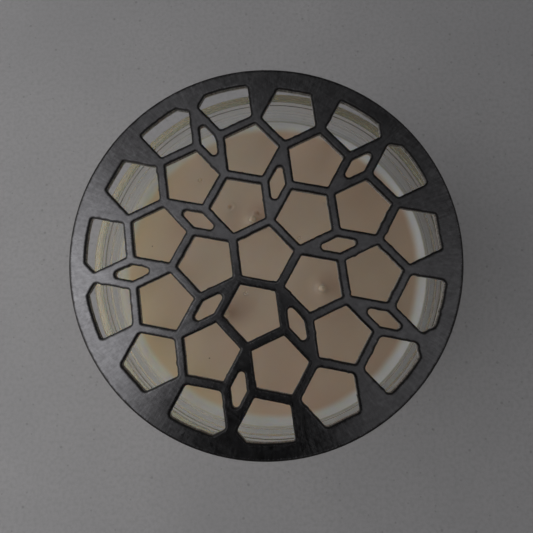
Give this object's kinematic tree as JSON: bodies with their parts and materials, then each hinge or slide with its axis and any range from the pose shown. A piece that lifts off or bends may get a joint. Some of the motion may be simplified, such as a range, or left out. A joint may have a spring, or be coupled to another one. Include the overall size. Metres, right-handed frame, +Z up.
{
  "type": "jar candle",
  "caption": "Clear glass jar candle of poured wax under a loose flat steel topper, pierced with pentagons and leaf slots, that rests on the rim.",
  "frame": {"origin": "centre of the jar's foot, on the surface that the jar stands on", "axes": "+Z up along the jar's axis, through the mouth; +X and +Y across it, with the first wick near +Y"},
  "size_m": [0.11, 0.11, 0.0905],
  "materials": {
    "topper_steel": "dark brushed stainless steel, finely scratched",
    "clear_glass": "clear, with a faint green tint where it is thick",
    "wax": "cream poured wax, satin, slightly translucent",
    "wick_cotton": "braided cotton coated in wax",
    "tab_steel": "tin-plated sheet",
    "adhesive": "soft foam with adhesive on both faces"
  },
  "bodies": {
    "jar": {"glass_jar": "clear_glass", "wax_fill": "wax", "wick_1": "wick_cotton", "wick_2": "wick_cotton", "wick_3": "wick_cotton", "wick_tab_1": "tab_steel", "wick_tab_2": "tab_steel", "wick_tab_3": "tab_steel", "wick_sticker_1": "adhesive", "wick_sticker_2": "adhesive", "wick_sticker_3": "adhesive"},
    "lid": {"pierced_lid": "topper_steel"}
  },
  "joints": [
    {"name": "lid_lift", "type": "slide", "parent": "jar", "child": "lid", "axis": [0, 0, 1], "range_m": [0, 0.07]}
  ]
}
